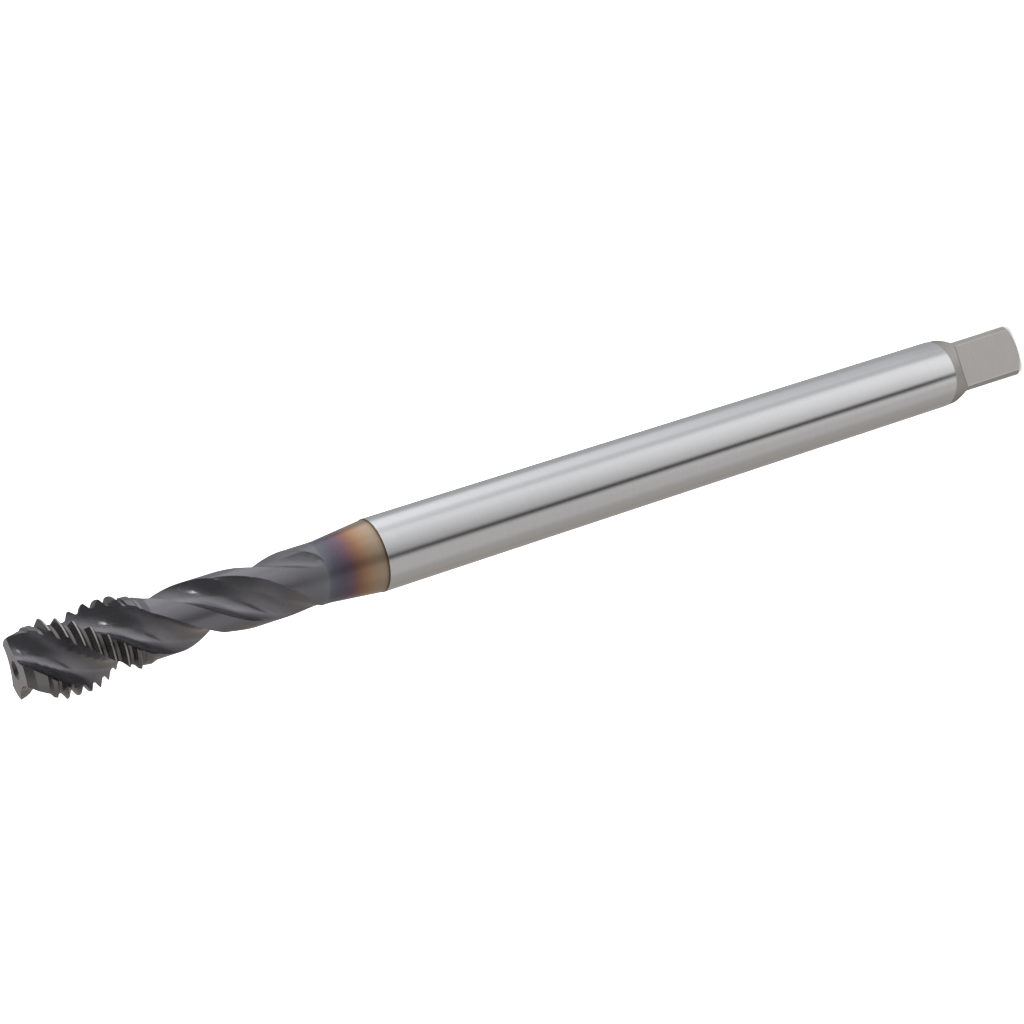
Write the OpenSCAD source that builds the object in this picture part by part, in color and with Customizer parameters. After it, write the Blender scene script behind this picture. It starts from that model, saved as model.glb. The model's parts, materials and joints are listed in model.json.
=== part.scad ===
/* [Overall] */
// Length from the end of the square to the tip
overall_length = 152.4; // [130:0.1:200]
// Diameter of the ground shank
shank_diameter = 9.677; // [9:0.001:12]
// Length of the head, from the tip to the ring where the shank ends
head_length = 47.1; // [40:0.1:60]

/* [Square drive] */
// Width across the flats
square_width = 7.264; // [6:0.001:7.8]
// Length of the flats
square_length = 10.8; // [8:0.1:11.5]
// Slope that each flat ends in
flat_end_slope = 50; // [40:1:80]
// Diameter of the turned end that the square is cut from
corner_diameter = 9.5; // [8.8:0.01:9.6]
// Distance from the end to the ground shank
turned_length = 13; // [12.8:0.1:16]
// Length of the taper between the turned end and the ground shank
taper_length = 1; // [0.2:0.1:1]
// Diameter of the end face
end_face_diameter = 7; // [5:0.1:7.2]
// Slope of the chamfer behind the end face
end_chamfer = 34; // [20:1:45]
// Diameter of the centre hole in the end face
end_centre_diameter = 2.4; // [1:0.1:3]

/* [Neck] */
// Diameter of the neck
neck_diameter = 8; // [7:0.01:8.1]
// Step down from the shank to the cone
ring_step = 0.06; // [0.02:0.01:0.2]
// Half angle of the cone
cone_angle = 6.1; // [5:0.1:12]
// Length of the plain neck between the cone and the flutes
plain_neck = 0.6; // [0.1:0.1:5]

/* [Thread] */
// Pitch of the right-hand thread
pitch = 1.5; // [1.25:0.05:1.75]
// Diameter over the crests
major_diameter = 10.18; // [9.8:0.01:10.4]
// Diameter at the roots
root_diameter = 8.4; // [8.2:0.01:8.8]
// Length of the threaded part
thread_length = 16.5; // [12:0.1:20]
// Slope of the first threads behind the neck
back_slope = 17; // [12:1:30]
// Diameter of the tip's face
tip_diameter = 7.8; // [6:0.1:8]
// Slope of the cutting chamfer
chamfer_slope = 16.7; // [12:0.1:25]
// Diameter of the centre hole in the tip
tip_centre_diameter = 2.3; // [1:0.1:2.4]

/* [Flutes] */
// Number of right-hand spiral flutes
flute_count = 3; // [3:1:4]
// Diameter of the core between the flutes
core_diameter = 4.4; // [4.2:0.1:5.4]
// Angle that each land takes up
land_angle = 37; // [30:1:45]
// Hook of the cutting face
hook_angle = 12; // [5:1:14]
// Lead of the flutes at the tip
lead_tip = 30.2; // [26:0.1:40]
// Lead of the flutes where they run out in the neck
lead_neck = 47.3; // [35:0.1:60]
// Radius of the wheel that leaves the flutes' run-out
wheel_radius = 50; // [20:1:60]
// Depth below the tip where the wheel's flank cuts deepest into the lands
flank_depth = 30.1; // [25:0.1:34]
// Least distance from the axis to what the wheel's flank cuts
flank_reach = 2.78; // [2.6:0.01:3.5]
// Radius of the wheel's flank
flank_radius = 25; // [20:1:60]

/* [Hidden] */
$fn = 96;

shank_radius = shank_diameter / 2;
shank_top = overall_length - head_length;
neck_radius = neck_diameter / 2;
cone_radius = shank_radius - ring_step;
cone_length = (cone_radius - neck_radius) / tan(cone_angle);

// A centre hole is a 60 degree cone with a drilled hole below, stated as shares of the cone's diameter
centre_angle = 30;
pilot_share = 0.45;
pilot_depth = 1.2;
drill_angle = 59;

major_radius = major_diameter / 2;
root_radius = root_diameter / 2;
tip_radius = tip_diameter / 2;
core_radius = core_diameter / 2;
crest_flat = pitch / 8;
flank_slope = tan(60);
crest_half = crest_flat / 2;
root_half = crest_half + (major_radius - root_radius) / flank_slope;
// Turn of the thread, as a share of the pitch, and of the flutes, against the square's flats
thread_phase = 0.823;
flute_start = 35;

// The land of the fluted neck lies just inside the turned neck that it runs into
seam = 0.02;
seam_overlap = 0.1;
land_radius = neck_radius - seam;
runout_lift = land_radius - seam / 2 - core_radius;
runout_length = sqrt(wheel_radius * wheel_radius - pow(wheel_radius - runout_lift, 2));
flute_length = head_length - cone_length - plain_neck;
rise_start = flute_length - runout_length;

// The cutting face and the back of a flute are two arcs that touch the core at one point
flute_angle = 360 / flute_count - land_angle;
face_arc = (major_radius * major_radius - core_radius * core_radius)
    / (2 * (core_radius + major_radius * sin(hook_angle)));
face_angle = arc_angle(face_arc, core_radius, major_radius);
back_angle = flute_angle - face_angle;
back_arc = (major_radius * major_radius + core_radius * core_radius
    - 2 * major_radius * core_radius * cos(back_angle))
    / (2 * (major_radius * cos(back_angle) - core_radius));

// Turn of the wheel's flank from the deepest line of the flute towards its back
flank_turn = 10;

// Columns of points round the head and rows along it
side_steps = 6;
land_steps = 8;
flute_columns = 2 * side_steps + land_steps;
columns = flute_columns * flute_count;
neck_rows = 24;
rows_per_pitch = 4;

// Angle of the flutes at a depth below the tip
function flute_turn(h) =
    flute_start - 360 * (h / lead_tip + h * h * (1 / lead_neck - 1 / lead_tip) / (2 * flute_length));

// Radius of the flutes' floor
function floor_radius(h) =
    core_radius + wheel_radius - sqrt(wheel_radius * wheel_radius - pow(max(0, h - rise_start), 2));

// Radius to which the wheel's flank cuts the back of a flute, at an angle from the flute's deepest line
function flank_cut(a, h) =
    let (off = abs(a - flank_turn))
    off > 80 ? major_radius : (flank_reach + pow(h - flank_depth, 2) / (2 * flank_radius)) / cos(off);

// Angle between an arc's deepest point and the point where it crosses a radius
function arc_angle(arc, floor_r, r) =
    let (centre = floor_r + arc)
    acos(min(1, (r * r + centre * centre - arc * arc) / (2 * r * centre)));

// Radius of the bare thread
function thread_radius(a, h) =
    let (w = -h / pitch - a / 360 - thread_phase)
    let (off_crest = abs(w - floor(w) - 0.5) * pitch)
    max(root_radius, major_radius - max(0, off_crest - crest_half) * flank_slope);

function chamfer_radius(h) = tip_radius + h * tan(chamfer_slope);
function back_radius(h) = land_radius + (thread_length - h) * tan(back_slope);

// Radius of the lands, with the chamfer at the tip and the slope behind the thread
function land_outline(a, h) =
    h >= thread_length ? land_radius : min(thread_radius(a, h), chamfer_radius(h), back_radius(h));

// Half width of a crest where a chamfer cuts it, on the side that faces the tip or the neck
function crest_side(h, side) =
    let (cut_tip = (major_radius - chamfer_radius(h) + flank_slope * crest_half)
        / (flank_slope - side * tan(chamfer_slope)))
    let (cut_back = (major_radius - back_radius(h) + flank_slope * crest_half)
        / (flank_slope + side * tan(back_slope)))
    min(root_half, max(crest_half, cut_tip, cut_back));

// Angle of a column from the cutting edge of its flute
function column_angle(q) =
    q <= side_steps ? face_angle * q / side_steps :
    q <= 2 * side_steps ? face_angle + back_angle * (q - side_steps) / side_steps :
    flute_angle + land_angle * (q - 2 * side_steps) / land_steps;

// Depth of the crest that a column crosses, by repeated substitution
function crest_depth(k, a, h, tries = 4) =
    tries == 0 ? h :
    crest_depth(k, a, -pitch * (k + 0.5 + thread_phase + (flute_turn(h) + a) / 360), tries - 1);

// Depth of one row of the thread: foot, crest, crest and foot of each tooth
function thread_row(i, a) =
    let (k = first_turn + floor(i / rows_per_pitch))
    let (part = i % rows_per_pitch)
    let (crest = crest_depth(k, a, thread_length / 2))
    let (offset = part == 0 ? root_half : part == 1 ? crest_side(crest, -1) :
        part == 2 ? -crest_side(crest, 1) : -root_half)
    max(0, min(thread_length, crest + offset));

// Turns of the thread that start below its end and finish past the tip, whatever the column
first_turn = floor(-thread_length / pitch - thread_phase - 1.5 - flute_turn(thread_length) / 360) - 2;
last_turn = ceil(-thread_phase - 0.5 - flute_turn(0) / 360) + 1;
thread_rows = rows_per_pitch * (last_turn - first_turn);

// One point of the head: its column within a flute, the flute, and its depth below the tip
function side_point(q, base, h) =
    let (floor_r = floor_radius(h))
    let (on_face = q <= side_steps)
    let (share = abs(q - side_steps) / side_steps)
    let (edge_angle = base + (on_face ? 0 : flute_angle))
    let (edge_radius = max(floor_r + seam / 4, land_outline(edge_angle, h)))
    let (inner_radius = min(edge_radius, root_radius))
    let (r = share == 1 ? edge_radius : floor_r + (inner_radius - floor_r) * share * share)
    let (a = arc_angle(on_face ? face_arc : back_arc, floor_r, r))
    [r, base + face_angle + (on_face ? -a : a)];

function land_point(q, base, h) =
    let (share = (q - 2 * side_steps) / land_steps)
    let (heel = side_point(2 * side_steps, base, h)[1])
    let (edge = side_point(0, base + 360 / flute_count, h)[1])
    [land_outline(base + column_angle(q), h), heel + (edge - heel) * share];

function head_point(j, h) =
    let (q = j % flute_columns)
    let (base = flute_turn(h) + 360 / flute_count * floor(j / flute_columns))
    let (polar = q <= 2 * side_steps ? side_point(q, base, h) : land_point(q, base, h))
    let (r = min(polar[0], flank_cut(polar[1] - base - face_angle, h)))
    [r * cos(polar[1]), r * sin(polar[1]), -h];

function full_angle(j) =
    column_angle(j % flute_columns) + 360 / flute_count * floor(j / flute_columns);

function neck_row(i) = flute_length + (thread_length - flute_length) * i / neck_rows;

module fluted_head() {
    depths = [for (i = [0 : thread_rows]) [for (j = [0 : columns - 1]) thread_row(i, full_angle(j))]];
    points = concat(
        [for (i = [0 : neck_rows - 1]) for (j = [0 : columns - 1]) head_point(j, neck_row(i))],
        [for (i = [0 : thread_rows]) for (j = [0 : columns - 1]) head_point(j, depths[i][j])]
    );
    first = neck_rows * columns;
    last = first + thread_rows * columns;
    // Rows that lie past either end of the thread share the point at that end
    function turn_id(i, j) =
        let (row = max(0, min(thread_rows, i)))
        depths[row][j] >= thread_length ? first + j :
        depths[row][j] <= 0 ? last + j : first + row * columns + j;
    function thread_id(i, j) = j < columns ? turn_id(i, j) : turn_id(i + rows_per_pitch, 0);
    function neck_id(i, j) = i < neck_rows ? i * columns + j % columns : first + j % columns;
    function quad(a, b, c, d) = [for (t = [[a, d, c], [a, c, b]])
        if (t[0] != t[1] && t[1] != t[2] && t[2] != t[0]) t];
    neck_faces = [for (i = [0 : neck_rows - 1]) for (j = [0 : columns - 1])
        each quad(neck_id(i, j), neck_id(i, j + 1), neck_id(i + 1, j + 1), neck_id(i + 1, j))];
    thread_faces = [for (i = [-rows_per_pitch : thread_rows - 1]) for (j = [0 : columns - 1])
        if (i >= 0 || j == columns - 1)
        each quad(thread_id(i, j), thread_id(i, j + 1), thread_id(i + 1, j + 1), thread_id(i + 1, j))];
    // The face at the tip: a core, and a strip and a fan on each land
    function tip_id(f, q) = last + (f % flute_count) * flute_columns + q;
    core_face = [[for (f = [flute_count - 1 : -1 : 0]) tip_id(f, side_steps)]];
    land_faces = [for (f = [0 : flute_count - 1]) each concat(
        [for (t = [0 : side_steps - 1])
            each quad(tip_id(f, side_steps + t), tip_id(f, side_steps + t + 1),
                tip_id(f + 1, side_steps - t - 1), tip_id(f + 1, side_steps - t))],
        [for (q = [2 * side_steps + 1 : flute_columns - 1])
            [tip_id(f, 2 * side_steps), q == flute_columns - 1 ? tip_id(f + 1, 0) : tip_id(f, q + 1),
                tip_id(f, q)]]
    )];
    tail_face = [[for (j = [0 : columns - 1]) j]];
    translate([0, 0, overall_length])
        color("dimgray")
            polyhedron(points, concat(neck_faces, thread_faces, core_face, land_faces, tail_face));
}

// Half outline of the turned end
module drive_outline() {
    chamfer_height = (corner_diameter - end_face_diameter) / 2 * tan(end_chamfer);
    polygon([
        [0, 0],
        [end_face_diameter / 2, 0],
        [corner_diameter / 2, chamfer_height],
        [corner_diameter / 2, turned_length - taper_length],
        [shank_radius, turned_length],
        [0, turned_length]
    ]);
}

// What is milled away beside one flat, with the slope at its end
module flat_cut() {
    flat = square_width / 2;
    slope_length = (shank_diameter - flat) / tan(flat_end_slope);
    rotate([90, 0, 0])
        linear_extrude(height = 2 * shank_diameter, center = true)
            polygon([
                [flat, -1],
                [shank_diameter, -1],
                [shank_diameter, square_length + slope_length],
                [flat, square_length]
            ]);
}

module square_drive() {
    color("gray")
        difference() {
            rotate_extrude()
                drive_outline();
            for (side = [0 : 3])
                rotate(90 * side)
                    flat_cut();
        }
}

module shank() {
    color("silver")
        translate([0, 0, turned_length])
            cylinder(r = shank_radius, h = shank_top - turned_length);
}

module neck() {
    cone_top = shank_top + cone_length;
    neck_top = cone_top + plain_neck + seam_overlap;
    color("slategray")
        rotate_extrude()
            polygon([
                [0, shank_top],
                [cone_radius, shank_top],
                [neck_radius, cone_top],
                [neck_radius, neck_top],
                [0, neck_top]
            ]);
}

// A centre hole that opens downwards at the origin
module centre_hole(diameter) {
    pilot_radius = diameter / 2 * pilot_share;
    depth = diameter * pilot_depth;
    rotate_extrude()
        polygon([
            [0, 0],
            [diameter / 2, 0],
            [pilot_radius, (diameter / 2 - pilot_radius) / tan(centre_angle)],
            [pilot_radius, depth],
            [0, depth + pilot_radius / tan(drill_angle)]
        ]);
}

module tap() {
    difference() {
        union() {
            square_drive();
            shank();
            neck();
            fluted_head();
        }
        centre_hole(end_centre_diameter);
        translate([0, 0, overall_length])
            mirror([0, 0, 1])
                centre_hole(tip_centre_diameter);
    }
}

tap();
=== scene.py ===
"""A long machine tap with three spiral flutes, a ground shank and a square drive, on a pale studio floor."""

import json
import math
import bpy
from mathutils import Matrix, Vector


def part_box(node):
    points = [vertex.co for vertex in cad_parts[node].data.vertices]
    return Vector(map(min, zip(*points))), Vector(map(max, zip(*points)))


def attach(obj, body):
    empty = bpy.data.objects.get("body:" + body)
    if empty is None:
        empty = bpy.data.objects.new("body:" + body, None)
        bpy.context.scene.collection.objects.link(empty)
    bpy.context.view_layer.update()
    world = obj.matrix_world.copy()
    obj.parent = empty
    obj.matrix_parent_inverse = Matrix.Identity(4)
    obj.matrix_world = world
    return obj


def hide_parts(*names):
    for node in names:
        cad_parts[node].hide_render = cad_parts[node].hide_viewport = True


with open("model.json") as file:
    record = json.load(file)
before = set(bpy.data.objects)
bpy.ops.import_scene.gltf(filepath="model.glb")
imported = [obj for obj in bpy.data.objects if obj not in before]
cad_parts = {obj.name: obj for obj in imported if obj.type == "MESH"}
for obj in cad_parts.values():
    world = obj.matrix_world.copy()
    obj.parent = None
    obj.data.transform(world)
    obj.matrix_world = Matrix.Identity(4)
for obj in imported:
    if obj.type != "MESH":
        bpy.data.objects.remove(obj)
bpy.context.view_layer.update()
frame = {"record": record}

from types import SimpleNamespace

import bmesh
import bpy
from mathutils import Matrix, Vector

bl_info = {
    "name": "Spiral flute tap",
    "version": (1, 0, 0),
    "blender": (4, 5, 0),
    "location": "View3D > Sidebar > Tap",
    "description": "Builds a long machine tap with spiral flutes, and a pale studio round it",
    "category": "Add Mesh",
}

MM = 0.001

# The ground shank, as the record's mount states it
SHANK = next(mount for mount in frame["record"]["mounts"] if mount["name"] == "shank")
SHANK_RADIUS = SHANK["dims"]["r_mm"] * MM
SHANK_LENGTH = SHANK["dims"]["length_mm"] * MM
SHANK_BOTTOM = SHANK["pos_m"][2] - SHANK_LENGTH / 2
SHANK_TOP = SHANK_BOTTOM + SHANK_LENGTH
OVERALL_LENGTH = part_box("tap")[1].z


def length(name, description, default):
    """A size in metres that a user may change."""
    return bpy.props.FloatProperty(
        name=name,
        description=description,
        default=default,
        min=0,
        subtype="DISTANCE",
        unit="LENGTH",
        precision=5,
    )


def angle(name, description, degrees):
    """An angle that a user may change, given in degrees."""
    return bpy.props.FloatProperty(
        name=name,
        description=description,
        default=math.radians(degrees),
        subtype="ANGLE",
        unit="ROTATION",
    )


def share(name, description, default, most=1.0):
    """A plain factor that a user may change."""
    return bpy.props.FloatProperty(name=name, description=description, default=default, min=0, max=most)


def colour(name, description, default):
    """A linear colour that a user may change."""
    return bpy.props.FloatVectorProperty(
        name=name,
        description=description,
        default=default,
        size=3,
        min=0,
        max=1,
        subtype="COLOR",
    )


class BlankSizes(bpy.types.PropertyGroup):
    """Sizes of the turned and ground blank"""

    shank_radius: length("Shank radius", "Radius of the ground shank", SHANK_RADIUS)
    shank_bottom: length("Shank bottom", "Height at which the ground shank begins", SHANK_BOTTOM)
    shank_top: length("Shank top", "Height of the ring where the shank ends", SHANK_TOP)
    square_width: length("Square width", "Width across the flats of the square", 7.264 * MM)
    square_length: length("Square length", "Length of the flats", 10.8 * MM)
    flat_end_slope: angle("Flat end slope", "Slope that each flat ends in", 50)
    corner_radius: length("Corner radius", "Radius of the turned end that the square is cut from", 4.75 * MM)
    taper_length: length("Taper length", "Length of the taper between the turned end and the shank", 1 * MM)
    end_face_radius: length("End face radius", "Radius of the flat end face", 3.5 * MM)
    end_chamfer: angle("End chamfer", "Slope of the chamfer behind the end face", 34)
    end_hole_radius: length("End hole radius", "Radius of the centre hole in the end face", 1.2 * MM)
    ring_step: length("Ring step", "Step down from the shank to the cone", 0.06 * MM)
    cone_angle: angle("Cone angle", "Half angle of the cone", 6.1)
    neck_radius: length("Neck radius", "Radius of the neck", 4 * MM)
    neck_fillet: length("Neck fillet", "Radius that blends the cone into the neck", 8 * MM)
    plain_neck: length("Plain neck", "Length of the plain neck between the cone and the flutes", 0.6 * MM)


class HeadSizes(bpy.types.PropertyGroup):
    """Sizes of the fluted and threaded cutting head"""

    pitch: length("Pitch", "Pitch of the right-hand thread", 1.5 * MM)
    major_radius: length("Major radius", "Radius over the crests of the thread", 5.09 * MM)
    root_radius: length("Root radius", "Radius at the roots of the thread", 4.2 * MM)
    thread_length: length("Thread length", "Length of the threaded part", 16.5 * MM)
    back_slope: angle("Back slope", "Slope of the last threads towards the neck", 17)
    tip_radius: length("Tip radius", "Radius of the face at the tip", 3.9 * MM)
    chamfer_slope: angle("Chamfer slope", "Slope of the cutting chamfer", 16.7)
    hole_radius: length("Tip hole radius", "Radius of the centre hole in the tip", 1.15 * MM)
    flute_count: share("Flutes", "Number of spiral flutes", 3, 6)
    core_radius: length("Core radius", "Radius of the core between the flutes", 2.2 * MM)
    land_angle: angle("Land angle", "Angle that each land takes up", 37)
    hook_angle: angle("Hook angle", "Hook of the cutting face", 12)
    lead_tip: length("Lead at the tip", "Lead of the flutes at the tip", 30.2 * MM)
    lead_neck: length("Lead at the neck", "Lead of the flutes where they run out", 47.3 * MM)
    wheel_radius: length("Wheel radius", "Radius of the wheel that leaves the run-out", 50 * MM)
    flank_depth: length("Flank depth", "Depth where the wheel's flank cuts deepest", 30.1 * MM)
    flank_reach: length("Flank reach", "Least distance from the axis to the flank's cut", 2.78 * MM)
    flank_radius: length("Flank radius", "Radius of the wheel's flank", 25 * MM)
    flank_turn: angle("Flank turn", "Turn of the wheel's flank towards the back of the flute", 10)
    flute_start: angle("Flute start", "Turn of the flutes at the tip", 35)
    thread_phase: share("Thread phase", "Turn of the thread, as a share of the pitch", 0.823)


class FinishSettings(bpy.types.PropertyGroup):
    """Colours and gloss of the steel and its coating"""

    steel: colour("Steel", "Colour of the ground steel", (0.605, 0.603, 0.61))
    steel_roughness: share("Shank roughness", "Roughness of the ground shank", 0.17)
    milled: colour("Milled steel", "Colour of the milled flats", (0.61, 0.59, 0.565))
    turned: colour("Turned steel", "Colour of the turned end between the flats", (0.485, 0.468, 0.447))
    milled_roughness: share("Milled roughness", "Roughness of the milled square", 0.5)
    coating: colour("Coating", "Colour of the dark coating on the head", (0.195, 0.19, 0.206))
    coating_roughness: share("Coating roughness", "Roughness of the coated flutes", 0.22)
    run_out_dulling: share("Run-out dulling", "Roughness added where the flutes run out", 0.2)
    coating_metal: share("Coating metal", "How metallic the coating is", 0.965)
    thread_coating: colour("Thread coating", "Colour of the coating on the thread", (0.152, 0.143, 0.141))
    # Lighter tone of the cutting chamfer, and the painted highlight on the crests of the thread
    worn_edge: colour("Worn edge", "Colour of the crests and the cutting chamfer", (0.33, 0.325, 0.32))


class StudioSettings(bpy.types.PropertyGroup):
    """The floor, the light and the camera"""

    floor: colour("Floor", "Colour of the pale floor", (0.9, 0.9, 0.9))
    floor_size: length("Floor size", "Width of the floor", 6)
    light: share("Light", "Strength of the even studio light", 2.2, 10)
    look_at: length("Look at", "Height on the tap that the camera looks at", 84.65 * MM)
    distance: length("Camera distance", "Distance from the camera to that height", 288.3 * MM)
    elevation: angle("Elevation", "How far the camera looks down", 26.67)
    roll: angle("Roll", "Roll of the camera about its line of sight", -107.84)
    lens: bpy.props.FloatProperty(
        name="Focal length",
        description="Focal length on a 36 mm wide sensor",
        default=78.07,
        min=10,
        unit="CAMERA",
    )


# Numbers in a node tree

def link(tree, output, place):
    """Links an output socket to an input socket."""
    tree.links.new(output, place)


class Field:
    """A number in a node tree. Plain arithmetic on it adds Math nodes to the tree."""

    def __init__(self, tree, socket):
        self.tree = tree
        self.socket = socket

    def __add__(self, other):
        return calculate("ADD", self, other)

    def __radd__(self, other):
        return calculate("ADD", other, self)

    def __sub__(self, other):
        return calculate("SUBTRACT", self, other)

    def __rsub__(self, other):
        return calculate("SUBTRACT", other, self)

    def __mul__(self, other):
        return calculate("MULTIPLY", self, other)

    def __rmul__(self, other):
        return calculate("MULTIPLY", other, self)

    def __truediv__(self, other):
        return calculate("DIVIDE", self, other)

    def __rtruediv__(self, other):
        return calculate("DIVIDE", other, self)

    def __neg__(self):
        return calculate("MULTIPLY", self, -1)


PLAIN_MATH = {
    "ADD": lambda a, b: a + b,
    "SUBTRACT": lambda a, b: a - b,
    "MULTIPLY": lambda a, b: a * b,
    "DIVIDE": lambda a, b: a / b,
    "SQRT": math.sqrt,
    "SINE": math.sin,
    "COSINE": math.cos,
    "TANGENT": math.tan,
    "ARCSINE": math.asin,
    "FLOOR": math.floor,
    "CEIL": math.ceil,
    "ABSOLUTE": abs,
    "MINIMUM": min,
    "MAXIMUM": max,
}


def calculate(operation, *values):
    """The result of an operation: a Math node if any value is a field, or else a plain number."""
    fields = [value for value in values if isinstance(value, Field)]
    if not fields:
        return PLAIN_MATH[operation](*values)
    tree = fields[0].tree
    node = tree.nodes.new("ShaderNodeMath")
    node.operation = operation
    for value, place in zip(values, node.inputs):
        feed(tree, value, place)
    return Field(tree, node.outputs[0])


def feed(tree, value, place):
    """Links a field, or writes a plain value, to the input socket of a node."""
    if isinstance(value, Field):
        link(tree, value.socket, place)
    else:
        place.default_value = value


def root(value):
    """The square root of a value."""
    return calculate("SQRT", value)


def low(a, b):
    """The lower of two values."""
    return calculate("MINIMUM", a, b)


def high(a, b):
    """The higher of two values."""
    return calculate("MAXIMUM", a, b)


def floor(value):
    """The whole number at or below a value."""
    return calculate("FLOOR", value)


def fraction(value):
    """What a value has past the whole number below it."""
    return value - floor(value)


def less(a, b):
    """1 where a is under b, or else 0."""
    return calculate("LESS_THAN", a, b)


def pick(condition, yes, no):
    """One field where the condition holds and another where it doesn't."""
    tree = condition.tree
    node = tree.nodes.new("GeometryNodeSwitch")
    node.input_type = "FLOAT"
    link(tree, condition.socket, node.inputs[0])
    feed(tree, no, node.inputs[1])
    feed(tree, yes, node.inputs[2])
    return Field(tree, node.outputs[0])


# The form of the cutting head, for plain numbers and for fields alike. Depths are measured from the tip.

TURN = 2 * math.pi
FLANK_SLOPE = math.tan(math.radians(60))
CENTRE_SLOPE = math.tan(math.radians(30))
CREST_FLAT = 1 / 8

# A centre hole is a 60 degree cone with a drilled hole below, stated as shares of the cone's radius
PILOT_SHARE = 0.45
PILOT_DEPTH = 2.4
DRILL_SLOPE = math.tan(math.radians(59))
# Past about 80 degrees from its own direction the wheel's flank is too far off to cut anything
LEAST_COSINE = 0.17


def arc_angle(arc, floor_radius, radius):
    """Angle between the deepest point of a flute's arc and the point where the arc crosses a radius."""
    rise = radius - floor_radius
    centre = floor_radius + arc
    return 2 * calculate("ARCSINE", root(high(0, rise * (2 * arc - rise)) / (4 * radius * centre)))


def with_derived(size):
    """Adds the sizes that follow from the others."""
    size.crest_half = size.pitch * CREST_FLAT / 2
    size.root_half = size.crest_half + (size.major_radius - size.root_radius) / FLANK_SLOPE
    size.chamfer_rise = calculate("TANGENT", size.chamfer_slope)
    size.back_rise = calculate("TANGENT", size.back_slope)
    lift = size.neck_radius - size.core_radius
    above_floor = size.wheel_radius - lift
    run_out = root(size.wheel_radius * size.wheel_radius - above_floor * above_floor)
    size.rise_start = size.flute_length - run_out
    size.lead_change = (1 / size.lead_neck - 1 / size.lead_tip) / (2 * size.flute_length)
    size.flute_step = TURN / size.flute_count
    size.flute_angle = size.flute_step - size.land_angle
    major_square = size.major_radius * size.major_radius
    core_square = size.core_radius * size.core_radius
    hook = size.major_radius * calculate("SINE", size.hook_angle)
    size.face_arc = (major_square - core_square) / (2 * (size.core_radius + hook))
    size.face_angle = arc_angle(size.face_arc, size.core_radius, size.major_radius)
    size.back_angle = size.flute_angle - size.face_angle
    reach = size.major_radius * calculate("COSINE", size.back_angle)
    chord_square = major_square + core_square - 2 * size.core_radius * reach
    size.back_arc = chord_square / (2 * (reach - size.core_radius))
    return size


def flute_turn(size, depth):
    """Angle of the flutes at a depth. Their lead grows from the tip to the neck."""
    return size.flute_start - TURN * depth * (1 / size.lead_tip + depth * size.lead_change)


def floor_radius(size, depth):
    """Radius of the flutes' floor, which rises out of the neck along the grinding wheel."""
    past = high(0, depth - size.rise_start)
    return size.core_radius + size.wheel_radius - root(size.wheel_radius * size.wheel_radius - past * past)


def flank_cut(size, off_deepest, depth):
    """Radius to which the wheel's flank cuts a flute's back, at an angle from the flute's deepest line."""
    off = depth - size.flank_depth
    reach = size.flank_reach + off * off / (2 * size.flank_radius)
    return reach / high(LEAST_COSINE, calculate("COSINE", off_deepest - size.flank_turn))


def land_outline(size, turned, depth):
    """Radius of the lands: the thread, within the cutting chamfer, the slope behind it and the neck."""
    cycle = -depth / size.pitch - turned / TURN - size.thread_phase
    off_crest = calculate("ABSOLUTE", fraction(cycle) - 0.5) * size.pitch
    flank = size.major_radius - high(0, off_crest - size.crest_half) * FLANK_SLOPE
    thread = high(size.root_radius, flank)
    chamfer = size.tip_radius + depth * size.chamfer_rise
    back = size.neck_radius + (size.thread_length - depth) * size.back_rise
    return low(low(thread, chamfer), high(size.neck_radius, back))


def crest_depth(size, cycle, nominal):
    """Depth at which a turn of the thread crosses a column of the head."""
    start = size.pitch * (cycle + 0.5 + size.thread_phase + (size.flute_start + nominal) / TURN)
    slant = 1 - size.pitch / size.lead_tip
    return -2 * start / (slant + root(slant * slant + 4 * size.pitch * size.lead_change * start))


def crest_side(size, depth, side):
    """Half width of a crest, which a chamfer widens. Side 1 is towards the tip, -1 towards the neck."""
    chamfer = size.tip_radius + depth * size.chamfer_rise
    back = size.neck_radius + (size.thread_length - depth) * size.back_rise
    top = size.major_radius + FLANK_SLOPE * size.crest_half
    cut_tip = (top - chamfer) / (FLANK_SLOPE + side * size.chamfer_rise)
    cut_back = (top - back) / (FLANK_SLOPE - side * size.back_rise)
    return low(size.root_half, high(size.crest_half, high(cut_tip, cut_back)))


# Columns of one flute: cutting face, back and land. A side's columns that lie on the teeth come first.
TOOTH_COLUMNS = 4
SIDE_COLUMNS = 18
LAND_COLUMNS = 32
FLUTE_COLUMNS = 2 * SIDE_COLUMNS + LAND_COLUMNS
# Rows of the tip's face, of one pitch of the thread and of the neck
HOLE_ROWS = 4
FACE_ROWS = HOLE_ROWS + SIDE_COLUMNS
FLANK_ROWS = 3
PITCH_ROWS = 2 * FLANK_ROWS + 2
NECK_ROWS = 120

BLANK_COLUMNS = 3 * LAND_COLUMNS
# Step of the grinding marks from one column of a flute to the next
LAY_STEP = 0.25 * MM
MERGE_DISTANCE = 0.003 * MM
SHARP_ANGLE = math.radians(12)

# Inputs of the head's tree: three that follow from the blank, and then the head's own sizes
BLANK_INPUTS = "overall_length", "flute_length", "neck_radius"
HEAD_INPUTS = *BLANK_INPUTS, *HeadSizes.__annotations__


def cone_length(blank):
    """Length of the cone between the ring and the neck."""
    return (blank.shank_radius - blank.ring_step - blank.neck_radius) / math.tan(blank.cone_angle)


def head_numbers(scene):
    """The head's sizes as plain numbers, by the names of the tree's inputs."""
    blank = scene.tap_blank
    numbers = {
        "overall_length": OVERALL_LENGTH,
        "flute_length": OVERALL_LENGTH - blank.shank_top - cone_length(blank) - blank.plain_neck,
        "neck_radius": blank.neck_radius,
    }
    for name in HeadSizes.__annotations__:
        numbers[name] = getattr(scene.tap_head, name)
    return numbers


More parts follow.
